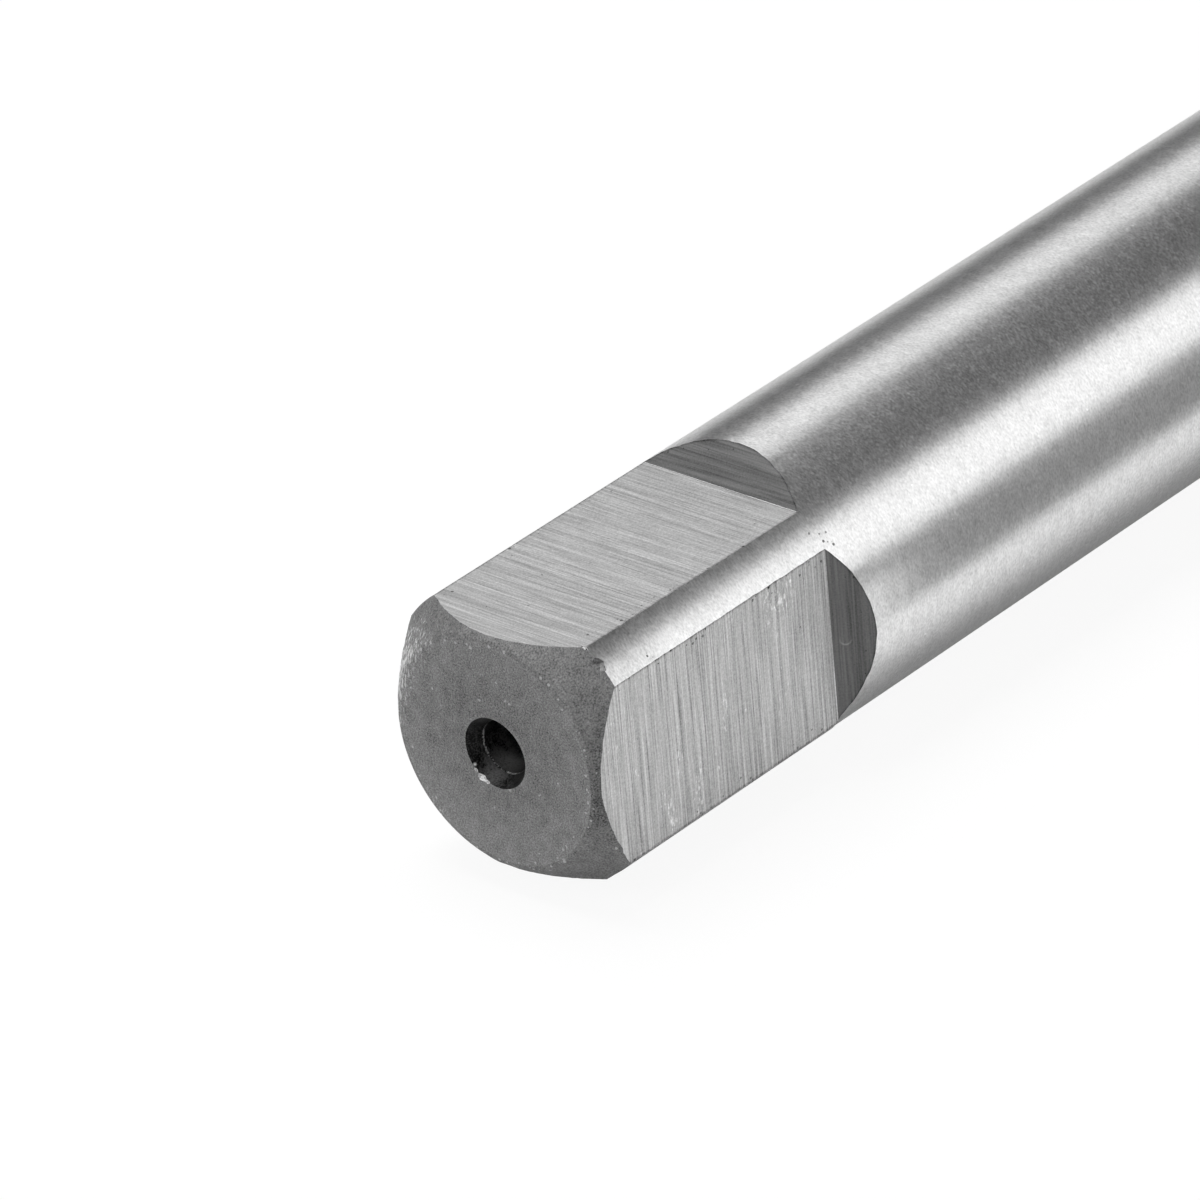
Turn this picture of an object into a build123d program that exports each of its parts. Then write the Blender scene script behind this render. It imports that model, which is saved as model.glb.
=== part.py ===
from build123d import *
import math
import os

# A machine tap for right-hand internal threads, ground from one bar of high-speed steel.
# The drive square, its sloping shoulders, the end chamfer and the centre hole follow the photograph.
# The cutting end follows the standard tap that has this square and this shank: M14 x 2, 95 long.
# The axis is the X axis, with the drive end's face at x = 0 and the cutting tip at +X.

# Driving dimensions, in millimetres and degrees
overall_length = 95.0
shank_diameter = 11.2

square_sides = 4
square_across_flats = 9.0
square_length = 12.4
shoulder_slope = 45.0
end_chamfer = 1.3

thread_diameter = 14.0
thread_pitch = 2.0
thread_length = 30.0
thread_depth = 1.227
thread_angle = 60.0
crest_flat = 0.25
thread_back_slope = 45.0

lead_threads = 4
tip_diameter = 11.0
tip_chamfer = 0.4
lead_relief = 0.2

flute_count = 4
flute_mouth_angle = 54.0
rake_angle = 8.0
core_diameter = 6.4
flute_root_radius = 2.2
flute_straight_length = 34.0
wheel_radius = 30.0

centre_cone_angle = 60.0
centre_pilot_diameter = 2.0
centre_pilot_length = 2.4
centre_point_angle = 120.0
drive_centre_diameter = 2.65
tip_centre_diameter = 3.35

# A cutter passes the surface that it enters or leaves by this much
overcut = 1.0

# Places and shares that follow from the driving dimensions
shank_radius = shank_diameter / 2
thread_radius = thread_diameter / 2
core_radius = core_diameter / 2
tip_radius = tip_diameter / 2
thread_start = overall_length - thread_length
lead_length = lead_threads * thread_pitch
lead_start = overall_length - lead_length
lead_slope = (thread_radius - tip_radius) / lead_length
flute_start = overall_length - flute_straight_length
flute_step = 360 / flute_count
square_step = 360 / square_sides


def flat_cutter():
    """What milling one side of the square takes away: the flat and the shoulder rising to the shank."""
    flat_height = square_across_flats / 2
    rise = shank_radius - flat_height + overcut
    run = rise / math.tan(math.radians(shoulder_slope))
    with BuildPart() as cutter:
        with BuildSketch(Plane.XZ):
            with BuildLine():
                Polyline(
                    (-overcut, flat_height),
                    (square_length, flat_height),
                    (square_length + run, flat_height + rise),
                    (-overcut, flat_height + rise),
                    close=True,
                )
            make_face()
        extrude(amount=shank_radius + overcut, both=True)
    return cutter.part


def centre_hole_cutter(mouth_diameter):
    """A centre drill's hole from x = 0 towards +X: bearing cone, pilot and drill point."""
    mouth_radius = mouth_diameter / 2
    pilot_radius = centre_pilot_diameter / 2
    cone_slope = math.tan(math.radians(centre_cone_angle / 2))
    cone_depth = (mouth_radius - pilot_radius) / cone_slope
    pilot_end = cone_depth + centre_pilot_length
    point_depth = pilot_radius / math.tan(math.radians(centre_point_angle / 2))
    with BuildPart() as cutter:
        with BuildSketch(Plane.XZ):
            with BuildLine():
                Polyline(
                    (-overcut, 0),
                    (-overcut, mouth_radius + overcut * cone_slope),
                    (cone_depth, pilot_radius),
                    (pilot_end, pilot_radius),
                    (pilot_end + point_depth, 0),
                    close=True,
                )
            make_face()
        revolve(axis=Axis.X)
    return cutter.part


def flute_cutter():
    """What grinding one flute takes away: the straight part, and the run-out where the wheel lifts off."""
    half_mouth = math.radians(flute_mouth_angle / 2)
    lean = math.radians(flute_mouth_angle / 2 - rake_angle)
    cutting_edge = Vector(math.sin(half_mouth), math.cos(half_mouth)) * thread_radius
    heel = Vector(-cutting_edge.X, cutting_edge.Y)
    inwards = Vector(-math.sin(lean), -math.cos(lean))
    sideways = Vector(-math.cos(lean), math.sin(lean))
    # The root arc touches the rake face and the circle of the core.
    arc_offset = cutting_edge + sideways * flute_root_radius
    reach = arc_offset.dot(inwards)
    spare = arc_offset.length**2 - (core_radius + flute_root_radius) ** 2
    face_depth = -reach - math.sqrt(reach**2 - spare)
    arc_start = cutting_edge + inwards * face_depth
    arc_centre = arc_offset + inwards * face_depth
    # The back of the flute is the line from the heel that touches the root arc.
    to_centre = arc_centre - heel
    swing = math.degrees(math.asin(flute_root_radius / to_centre.length))
    back = to_centre.normalized().rotate(Axis.Z, -swing)
    arc_end = heel + back * math.sqrt(to_centre.length**2 - flute_root_radius**2)
    rake_top = cutting_edge - inwards * overcut
    heel_top = heel - back * overcut
    lift = math.degrees(math.acos(1 - (thread_radius - core_radius) / wheel_radius))
    with BuildPart() as cutter:
        with BuildSketch(Plane.YZ.offset(flute_start)) as section:
            with BuildLine():
                Line(rake_top, arc_start)
                TangentArc(arc_start, arc_end, tangent=inwards)
                Polyline(arc_end, heel_top, rake_top)
            make_face()
        extrude(amount=flute_straight_length + overcut)
        wheel_axis = Axis((flute_start, 0, core_radius + wheel_radius), (0, 1, 0))
        revolve(section.sketch, axis=wheel_axis, revolution_arc=lift)
    return cutter.part


def lead_cutter():
    """What relieving the lead of one land takes away: all that lies outside an off-centre cone."""
    half_land = math.radians((flute_step - flute_mouth_angle) / 2)
    shift = lead_relief / (2 * math.sin(half_land))
    land_centre = math.radians(flute_step / 2)
    cone_origin = Vector(0, -math.sin(land_centre), math.cos(land_centre)) * shift
    cone_radius = thread_radius - lead_relief / 2
    cone_start = lead_start - overcut / lead_slope
    cone_end = overall_length + overcut
    end_radius = cone_radius - (cone_end - lead_start) * lead_slope
    with BuildPart() as cutter:
        with BuildSketch(Plane(cone_origin)):
            with BuildLine():
                Polyline(
                    (cone_start, cone_radius + overcut),
                    (cone_end, end_radius),
                    (cone_end, cone_radius + 2 * overcut),
                    (cone_start, cone_radius + 2 * overcut),
                    close=True,
                )
            make_face()
        revolve(axis=Axis(cone_origin, (1, 0, 0)), revolution_arc=flute_step)
    return cutter.part


def groove_cutter():
    """One land's share of one turn of the groove between two threads, from flute to flute."""
    half_slope = math.tan(math.radians(thread_angle / 2))
    clearance = crest_flat / 4
    mouth_half = (thread_pitch - crest_flat) / 2
    root_half = mouth_half - thread_depth * half_slope
    top_half = mouth_half + clearance * half_slope
    top_height = thread_depth + clearance
    with BuildPart() as cutter:
        with BuildLine() as path:
            Helix(
                pitch=thread_pitch,
                height=thread_pitch / flute_count,
                radius=thread_radius - thread_depth,
                direction=(1, 0, 0),
            )
        start = path.line @ 0
        with BuildSketch(Plane(start, x_dir=start, z_dir=path.line % 0)):
            with BuildLine():
                Polyline(
                    (0, -root_half),
                    (top_height, -top_half),
                    (top_height, top_half),
                    (0, root_half),
                    close=True,
                )
            make_face()
        sweep(is_frenet=True)
    return cutter.part


with BuildPart() as machine_tap:
    # Turned bar: shank and thread body, with the chamfers of both ends
    back_length = (thread_radius - shank_radius) / math.tan(math.radians(thread_back_slope))
    tip_face_radius = tip_radius - tip_chamfer
    with BuildSketch(Plane.XZ):
        with BuildLine():
            Polyline(
                (0, 0),
                (0, shank_radius - end_chamfer),
                (end_chamfer, shank_radius),
                (thread_start, shank_radius),
                (thread_start + back_length, thread_radius),
                (overall_length - thread_radius + tip_face_radius, thread_radius),
                (overall_length, tip_face_radius),
                (overall_length, 0),
                close=True,
            )
        make_face()
    revolve(axis=Axis.X)

    # Drive square
    flat = flat_cutter()
    for side in range(square_sides):
        add(flat.rotate(Axis.X, side * square_step), mode=Mode.SUBTRACT)

    # Centre holes of both ends
    add(centre_hole_cutter(drive_centre_diameter), mode=Mode.SUBTRACT)
    tip_centre = centre_hole_cutter(tip_centre_diameter)
    add(Pos(X=overall_length) * tip_centre.rotate(Axis.Z, 180), mode=Mode.SUBTRACT)

    # Flutes, in line with the flats of the square
    flute = flute_cutter()
    for turn in range(flute_count):
        add(flute.rotate(Axis.X, turn * flute_step), mode=Mode.SUBTRACT)

    # Relieved lead, land by land
    lead = lead_cutter()
    for land in range(flute_count):
        add(lead.rotate(Axis.X, land * flute_step), mode=Mode.SUBTRACT)

    # Right-hand thread, land by land
    groove = groove_cutter()
    groove_turns = math.ceil(thread_length / thread_pitch) + 2
    for land in range(flute_count):
        turned = groove.rotate(Axis.X, land * flute_step)
        first = thread_start + thread_pitch * (land / flute_count - 0.5)
        add([Pos(X=first + turn * thread_pitch) * turned for turn in range(groove_turns)], mode=Mode.SUBTRACT)

os.makedirs("parts", exist_ok=True)
machine_tap.part.label = "machine_tap"
export_step(machine_tap.part, "parts/machine_tap.step")
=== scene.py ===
import math

import bmesh
import bpy
from mathutils import Matrix, Vector
from mathutils.noise import noise as noise_at, noise_vector, seed_set


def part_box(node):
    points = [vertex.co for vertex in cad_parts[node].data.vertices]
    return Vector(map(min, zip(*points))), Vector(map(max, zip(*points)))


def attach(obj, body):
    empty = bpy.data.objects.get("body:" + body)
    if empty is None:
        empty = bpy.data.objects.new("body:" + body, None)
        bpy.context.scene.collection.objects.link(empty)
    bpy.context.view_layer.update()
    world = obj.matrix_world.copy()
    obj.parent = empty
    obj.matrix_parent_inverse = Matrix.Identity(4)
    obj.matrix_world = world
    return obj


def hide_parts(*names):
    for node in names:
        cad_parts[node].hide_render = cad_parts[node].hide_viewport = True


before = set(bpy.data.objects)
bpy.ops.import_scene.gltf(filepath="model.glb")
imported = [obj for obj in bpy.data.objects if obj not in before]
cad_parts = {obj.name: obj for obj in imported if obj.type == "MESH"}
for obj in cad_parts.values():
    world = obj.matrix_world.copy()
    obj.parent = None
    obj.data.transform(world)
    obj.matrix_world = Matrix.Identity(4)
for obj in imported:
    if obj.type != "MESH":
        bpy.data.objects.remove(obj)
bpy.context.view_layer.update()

bl_info = {
    "name": "Machine tap",
    "version": (1, 0, 0),
    "blender": (4, 5, 0),
    "location": "View3D > Sidebar > Tap",
    "description": "Models a machine tap over its fixed frame, with its stage",
    "category": "Add Mesh",
}

TAP_NODE = "machine_tap"
TAP_START, TAP_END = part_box(TAP_NODE)

MM = 0.001
TURN = math.tau

# Room for rounding where places are compared
TINY = 1e-7

# How far the cutters reach outside the bar
PAST = 1 * MM

# Centre holes: radii of the pilot and of both mouths, and half the angles of cone and drill point
PILOT_RADIUS = 1.0 * MM
PILOT_LENGTH = 2.4 * MM
DRIVE_MOUTH = 1.325 * MM
TIP_MOUTH = 1.675 * MM
CENTRE_CONE = math.radians(30)
DRILL_POINT = math.radians(60)

# Radii of the lead's small end and of the tip's face, and how far a land's lead falls away
TIP_RADIUS = 5.5 * MM
TIP_FACE = 5.1 * MM
LEAD_THREADS = 4
LEAD_RELIEF = 0.2 * MM

# Flutes: their angles, the radii of the core and the root, the straight length and the wheel's radius
FLUTE_HALF_MOUTH = math.radians(27)
RAKE = math.radians(8)
CORE = 3.2 * MM
FLUTE_ROOT = 2.2 * MM
FLUTE_LENGTH = 34 * MM
WHEEL = 30 * MM

# Thread: its depth, the width of its crest, and half the angle between its flanks
THREAD_DEPTH = 1.227 * MM
THREAD_CREST = 0.25 * MM
THREAD_SLOPE = math.radians(30)

# Relief of the cutter's marks
MILLED_DEPTH = 0.003 * MM

# Edges sharper than this keep their crease
CREASE = math.radians(32)

# Material slots of the tap's mesh
SHANK, END_FACE, CHAMFER, CENTRE, FLAT, SIDE_FLAT, SHOULDER, FLUTE, THREAD, EDGE = range(10)


# Settings

class TapSizes(bpy.types.PropertyGroup):
    """Sizes of the tap, as the fixed frame has them"""

    length: bpy.props.FloatProperty(
        name="Overall length", description="From the drive end's face to the tip",
        default=TAP_END.x - TAP_START.x, unit="LENGTH", precision=4)
    shank: bpy.props.FloatProperty(
        name="Shank diameter", description="Diameter of the plain round shank",
        default=11.2 * MM, unit="LENGTH", precision=4)
    square: bpy.props.FloatProperty(
        name="Across flats", description="Width of the driving square",
        default=9.0 * MM, unit="LENGTH", precision=4)
    square_length: bpy.props.FloatProperty(
        name="Square length", description="From the end face to the foot of the shoulders",
        default=12.4 * MM, unit="LENGTH", precision=4)
    top_cut: bpy.props.FloatProperty(
        name="Top cut", description="How much deeper the top flat was milled, halfway along",
        default=0.045 * MM, unit="LENGTH", precision=5)
    end_chamfer: bpy.props.FloatProperty(
        name="End chamfer", description="Chamfer of the drive end, at 45 degrees",
        default=1.3 * MM, unit="LENGTH", precision=4)
    face_rounding: bpy.props.FloatProperty(
        name="Face rounding", description="How far the end face's rim is rounded off",
        default=0.12 * MM, unit="LENGTH", precision=5)
    corner_radius: bpy.props.FloatProperty(
        name="Corner radius", description="Radius that the cutter left at the foot of the shoulders",
        default=0.05 * MM, unit="LENGTH", precision=5)
    burr: bpy.props.FloatProperty(
        name="Burr", description="Height of the burr along the side flat's lower edge",
        default=0.1 * MM, unit="LENGTH", precision=5)
    rim_wear: bpy.props.FloatProperty(
        name="Rim wear", description="How far the rims of the milled faces stray",
        default=0.05 * MM, unit="LENGTH", precision=5)
    wear_seed: bpy.props.IntProperty(
        name="Wear seed", description="Number that the straying of the rims starts from",
        default=3, min=1)
    thread: bpy.props.FloatProperty(
        name="Thread diameter", description="Major diameter of the thread",
        default=14.0 * MM, unit="LENGTH", precision=4)
    pitch: bpy.props.FloatProperty(
        name="Pitch", description="Advance of the thread in one turn",
        default=2.0 * MM, unit="LENGTH", precision=4)
    thread_length: bpy.props.FloatProperty(
        name="Thread length", description="Threaded length, with the lead",
        default=30.0 * MM, unit="LENGTH", precision=4)
    flutes: bpy.props.IntProperty(
        name="Flutes", description="Number of straight flutes", default=4, min=3, max=6)
    steps: bpy.props.IntProperty(
        name="Steps round", description="Facets of a full turn", default=252, min=32)


class TapFinish(bpy.types.PropertyGroup):
    """Colours and gloss of the tap's surfaces"""

    shank_colour: bpy.props.FloatVectorProperty(
        name="Ground shank", description="Colour of the ground shank",
        default=(0.76, 0.76, 0.76), subtype="COLOR", min=0, max=1)
    shank_roughness: bpy.props.FloatProperty(
        name="Shank roughness", description="Roughness of the ground shank",
        default=0.29, subtype="FACTOR", min=0, max=1)
    flat_colour: bpy.props.FloatVectorProperty(
        name="Milled flats", description="Colour of the milled flats",
        default=(0.47, 0.47, 0.47), subtype="COLOR", min=0, max=1)
    side_colour: bpy.props.FloatVectorProperty(
        name="Side flats", description="Colour of the second pair of flats",
        default=(0.46, 0.46, 0.46), subtype="COLOR", min=0, max=1)
    flat_roughness: bpy.props.FloatProperty(
        name="Flat roughness", description="Roughness of the milled flats",
        default=0.42, subtype="FACTOR", min=0, max=1)
    shoulder_colour: bpy.props.FloatVectorProperty(
        name="Milled shoulders", description="Colour of the square's shoulders",
        default=(0.115, 0.115, 0.115), subtype="COLOR", min=0, max=1)
    face_colour: bpy.props.FloatVectorProperty(
        name="End face", description="Colour of the dull end face",
        default=(0.134, 0.134, 0.134), subtype="COLOR", min=0, max=1)
    chamfer_colour: bpy.props.FloatVectorProperty(
        name="Chamfer", description="Colour of the turned chamfer",
        default=(0.165, 0.165, 0.165), subtype="COLOR", min=0, max=1)
    # Darker than the metal is, partly as painted shade inside the hole
    centre_colour: bpy.props.FloatVectorProperty(
        name="Centre hole", description="Colour inside the centre hole",
        default=(0.03, 0.03, 0.03), subtype="COLOR", min=0, max=1)
    edge_colour: bpy.props.FloatVectorProperty(
        name="Worn edges", description="Colour of the worn and knocked edges",
        default=(0.35, 0.35, 0.35), subtype="COLOR", min=0, max=1)
    cut_colour: bpy.props.FloatVectorProperty(
        name="Ground flutes and thread", description="Colour of the ground cutting end",
        default=(0.66, 0.66, 0.66), subtype="COLOR", min=0, max=1)


class StageSettings(bpy.types.PropertyGroup):
    """Floor, lamps, room and camera"""

    floor_colour: bpy.props.FloatVectorProperty(
        name="Floor", description="Colour of the pale floor",
        default=(0.82, 0.82, 0.82), subtype="COLOR", min=0, max=1)
    floor_glow: bpy.props.FloatProperty(
        name="Floor white", description="Share of plain white in the floor as it is seen",
        default=0.92, subtype="FACTOR", min=0, max=1)
    mirrored_glow: bpy.props.FloatProperty(
        name="Mirrored white", description="Share of plain white in the floor as the steel mirrors it",
        default=0.1, subtype="FACTOR", min=0, max=1)
    room_level: bpy.props.FloatProperty(
        name="Room", description="Brightness of the room around the stage",
        default=0.1, min=0)
    top_level: bpy.props.FloatProperty(
        name="Top lamp", description="Brightness of the lamp overhead",
        default=9.0, min=0)
    back_level: bpy.props.FloatProperty(
        name="Back strip", description="Brightness of the strip lamp behind the tap",
        default=0.93, min=0)
    side_level: bpy.props.FloatProperty(
        name="Side strip", description="Brightness of the strip lamp beside the tap",
        default=1.25, min=0)
    front_level: bpy.props.FloatProperty(
        name="Front lamp", description="Brightness of the lamp in front of the drive end",
        default=1.9, min=0)
    card_level: bpy.props.FloatProperty(
        name="Grey card", description="Brightness of the card mirrored in the shank's side",
        default=0.26, min=0)
    lens: bpy.props.FloatProperty(
        name="Lens", description="Focal length of the camera",
        default=267.75, unit="CAMERA", min=1)


# Shaping

def turned_chain(bm, points):
    """Vertices and edges through the points, each a place along the axis and a radius."""
    verts = [bm.verts.new((x, 0, radius)) for x, radius in points]
    edges = [bm.edges.new(pair) for pair in zip(verts, verts[1:])]
    return verts + edges


def face_through(bm, corners, slot):
    """The face that an extrusion or a spin starts from, with its material slot."""
    face = bm.faces.new([bm.verts.new(corner) for corner in corners])
    face.material_index = slot
    return face


def new_verts(result):
    """The vertices that a bmesh operator made."""
    return [item for item in result["geom"] if isinstance(item, bmesh.types.BMVert)]


def repeat_round(bm, count):
    """Repeats all that the mesh holds round the tap's axis."""
    first = bm.verts[:] + bm.edges[:] + bm.faces[:]
    for place in range(1, count):
        copy = bmesh.ops.duplicate(bm, geom=first)
        turn = Matrix.Rotation(place * TURN / count, 3, "X")
        bmesh.ops.rotate(bm, verts=new_verts(copy), cent=(0, 0, 0), matrix=turn)


def tidy_shell(bm):
    """Closes the seams, then turns the faces outwards."""
    bmesh.ops.remove_doubles(bm, verts=bm.verts, dist=TINY / 10)
    bmesh.ops.recalc_face_normals(bm, faces=bm.faces)


def mesh_from(bm, name):
    """Turns bm into a mesh, and frees bm."""
    mesh = bpy.data.meshes.new(name)
    bm.to_mesh(mesh)
    bm.free()
    return mesh


def object_from(mesh, name):
    """A new object with the mesh, in the scene."""
    made = bpy.data.objects.new(name, mesh)
    bpy.context.scene.collection.objects.link(made)
    return made


def exchange_mesh(target, mesh):
    """Gives the target a new mesh and deletes its old one."""
    spent = target.data
    target.data = mesh
    bpy.data.meshes.remove(spent)


def cut_away(target, bm, name):
    """Takes the closed shells of bm away from the target's mesh."""
    tidy_shell(bm)
    cutter = object_from(mesh_from(bm, name), name)
    cut = target.modifiers.new(name, "BOOLEAN")
    cut.operation = "DIFFERENCE"
    cut.solver = "EXACT"
    cut.object = cutter
    bpy.context.view_layer.update()
    graph = bpy.context.evaluated_depsgraph_get()
    result = bpy.data.meshes.new_from_object(target.evaluated_get(graph))
    if not result.polygons:
        raise RuntimeError(f"Nothing is left of the tap after the cut: {name}")
    target.modifiers.clear()
    exchange_mesh(target, result)
    # The cutter's object goes with its mesh
    bpy.data.meshes.remove(cutter.data)


def eighth_turn(steps=4):
    """Angles from nought to 45 degrees, for a small rounding."""
    return [TURN / 8 * step / steps for step in range(steps + 1)]


def turn_blank(bm, sizes):
    """The turned bar, with both centre holes."""
    shank, thread = sizes.shank / 2, sizes.thread / 2
    end, thread_start = sizes.length, sizes.length - sizes.thread_length
    tip_chamfer_start = end - thread + TIP_FACE
    cone = 1 / math.tan(CENTRE_CONE)
    drill_point = PILOT_RADIUS / math.tan(DRILL_POINT)
    drive_cone, tip_cone = (DRIVE_MOUTH - PILOT_RADIUS) * cone, (TIP_MOUTH - PILOT_RADIUS) * cone
    drive_pilot, tip_pilot = drive_cone + PILOT_LENGTH, tip_cone + PILOT_LENGTH
    # Half the worn ring between the drive end's cone and its pilot
    edge = 0.035 * MM
    # Rings of the bar at the burr's end, just past the square, and where long facets are split
    square_end = sizes.square_length + 0.09 * MM
    burr_end = sizes.square_length - 0.12 * MM
    shank_rings = [(x, shank) for x in (burr_end, square_end, 14.2 * MM, 30 * MM, 48 * MM)]
    thread_ring = 80 * MM
    rim = shank - sizes.end_chamfer - sizes.face_rounding
    radius = sizes.face_rounding / math.tan(TURN / 16)
    rounding = [
        (radius * (1 - math.cos(turn)), rim + radius * math.sin(turn)) for turn in eighth_turn()]
    points = [
        (drive_pilot + drill_point, 0), (drive_pilot, PILOT_RADIUS), (drive_cone + edge, PILOT_RADIUS),
        (drive_cone - edge, PILOT_RADIUS + edge / cone), (0, DRIVE_MOUTH), *rounding,
        (sizes.end_chamfer, shank), *shank_rings, (thread_start, shank),
        (thread_start + thread - shank, thread), (thread_ring, thread),
        (tip_chamfer_start, thread), (end, TIP_FACE), (end, TIP_MOUTH),
        (end - tip_cone, PILOT_RADIUS), (end - tip_pilot, PILOT_RADIUS),
        (end - tip_pilot - drill_point, 0),
    ]
    bmesh.ops.spin(
        bm, geom=turned_chain(bm, points), cent=(0, 0, 0), axis=(1, 0, 0), dvec=(0, 0, 0),
        angle=TURN, steps=sizes.steps, use_merge=True)
    tidy_shell(bm)
    for face in bm.faces:
        place = face.calc_center_median()
        radius = place.yz.length
        if radius < TIP_MOUTH:
            face.material_index = EDGE if abs(place.x - drive_cone) < edge else CENTRE
        if radius > DRIVE_MOUTH and place.x < TINY:
            face.material_index = END_FACE
        if radius > TIP_MOUTH and abs(place.x - end) < TINY:
            face.material_index = END_FACE
        if TINY < place.x < sizes.end_chamfer and radius > rim:
            face.material_index = CHAMFER
    raise_burr(bm, sizes, burr_end)


def raise_burr(bm, sizes, burr_end):
    """Lifts the bar's skin where the mill pushed it past the side flat's lower edge."""
    crest = math.acos(sizes.square / (sizes.shank + 2 * sizes.burr))
    start, foot = crest - math.radians(6), crest + math.radians(12)
    for vert in bm.verts:
        down = math.atan2(-vert.co.z, -vert.co.y)
        along = sizes.end_chamfer - TINY < vert.co.x < burr_end + TINY
        if along and start < down < foot:
            share = min(1, (foot - down) / (foot - crest))
            # Softens both ends of the rise
            share *= share * (3 - 2 * share)
            vert.co.yz = vert.co.yz * (1 + sizes.burr * share / vert.co.yz.length)


def mill_square(tap, sizes):
    """Mills the four flats, with their sloping shoulders and the radius of the cutter's corner."""
    height, half_width = sizes.square / 2, 4 * MM
    rise = sizes.shank / 2 - height + PAST
    radius = sizes.corner_radius
    foot = sizes.square_length - radius * math.tan(TURN / 16)
    arc = [
        (foot + radius * math.sin(turn), height + radius * (1 - math.cos(turn)))
        for turn in eighth_turn()]
    shoulder_start = arc[-2][0]
    profile = [(-PAST, height), *arc, (sizes.square_length + rise, height + rise), (-PAST, height + rise)]
    bm = bmesh.new()
    section = face_through(bm, [(x, -half_width, z) for x, z in profile], FLAT)
    milled = bmesh.ops.extrude_face_region(bm, geom=[section])
    bmesh.ops.translate(bm, verts=new_verts(milled), vec=(0, 2 * half_width, 0))
    for face in bm.faces:
        if face.calc_center_median().x > shoulder_start:
            face.material_index = SHOULDER
    tidy_shell(bm)
    repeat_round(bm, 4)
    # The cut at the top goes a little deeper towards the shoulder
    for vert in bm.verts:
        if vert.co.z > height - TINY:
            vert.co.z -= sizes.top_cut * (0.5 + vert.co.x / sizes.square_length)
    bm.normal_update()
    for face in bm.faces:
        if face.material_index == FLAT and abs(face.normal.y) > abs(face.normal.z):
            face.material_index = SIDE_FLAT
    cut_away(tap, bm, "square")


def is_sharp(edge, least=math.radians(20)):
    return edge.calc_face_angle(0) > least


def merge_short_rims(bm, shortest):
    """Takes out the very short edges that a cut leaves beside its corners."""
    kept = {}
    short = [edge for edge in bm.edges if is_sharp(edge) and edge.calc_length() < shortest]
    for edge in sorted(short, key=lambda edge: tuple(edge.verts[0].co + edge.verts[1].co)):
        gone, stays = sorted(
            edge.verts, key=lambda vert: (sum(map(is_sharp, vert.link_edges)), *vert.co))
        if not {gone, stays} & kept.keys() and gone not in kept.values():
            kept[gone] = stays
    bmesh.ops.weld_verts(bm, targetmap=kept)


def wear_rims(tap, sizes):
    """Lets the rims of the milled faces stray a little, as the cutter and later knocks left them."""
    shortest, cuts = 0.06 * MM, 90
    # How often the rims stray in a millimetre, each with its share
    waves = ((1.7, 0.6), (6, 0.4))
    bm = bmesh.new()
    bm.from_mesh(tap.data)
    merge_short_rims(bm, shortest)
    # Only the rims along the ridges are longer than the square is wide and shorter than it is long
    long_rims = [
        edge for edge in bm.edges
        if is_sharp(edge) and sizes.square < edge.calc_length() < sizes.square_length]
    bmesh.ops.bisect_edges(bm, edges=long_rims, cuts=cuts)
    bm.normal_update()
    seed_set(sizes.wear_seed)
    for vert in bm.verts:
        milled = [face for face in vert.link_faces if face.material_index in (FLAT, SIDE_FLAT, SHOULDER)]
        if len(milled) == 1:
            place = vert.co / MM
            shift = Vector()
            for often, share in waves:
                shift += noise_vector(place * often) * share
            shift -= milled[0].normal * shift.dot(milled[0].normal)
            vert.co += shift * sizes.rim_wear
    worn = mesh_from(bm, "tap")
    for material in tap.data.materials:
        worn.materials.append(material)
    exchange_mesh(tap, worn)


def chip_corners(tap):
    """Chips the ridge's front corner and the mouth of the centre hole."""
    # The lumps that are taken away: place and radius of each, in millimetres
    chips = (
        ("ridge_chip", CHAMFER, ((1.19, -4.12, 4.19, 0.43), (0.86, -2.94, 4.78, 0.34))),
        ("corner_chip", EDGE, ((1.14, -3.44, 4.72, 0.35),)),
        ("mouth_chip", EDGE, (
            (-0.12, 0.69, -1.11, 0.21), (-0.1, 0.94, -0.93, 0.15), (-0.1, 0.49, -1.22, 0.14))),
    )
    roughness, roughness_scale = 0.25, 5
    for name, slot, lumps in chips:
        for number, (x, y, z, size) in enumerate(lumps):
            bm = bmesh.new()
            bmesh.ops.create_icosphere(bm, subdivisions=3, radius=size * MM)
            for vert in bm.verts:
                spot = vert.co / MM * roughness_scale + Vector((number, 0, 0))
                vert.co *= 1 + roughness * noise_at(spot)
            bmesh.ops.translate(bm, verts=bm.verts, vec=Vector((x, y, z)) * MM)
            for face in bm.faces:
                face.material_index = slot
            cut_away(tap, bm, f"{name}_{number + 1}")


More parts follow.
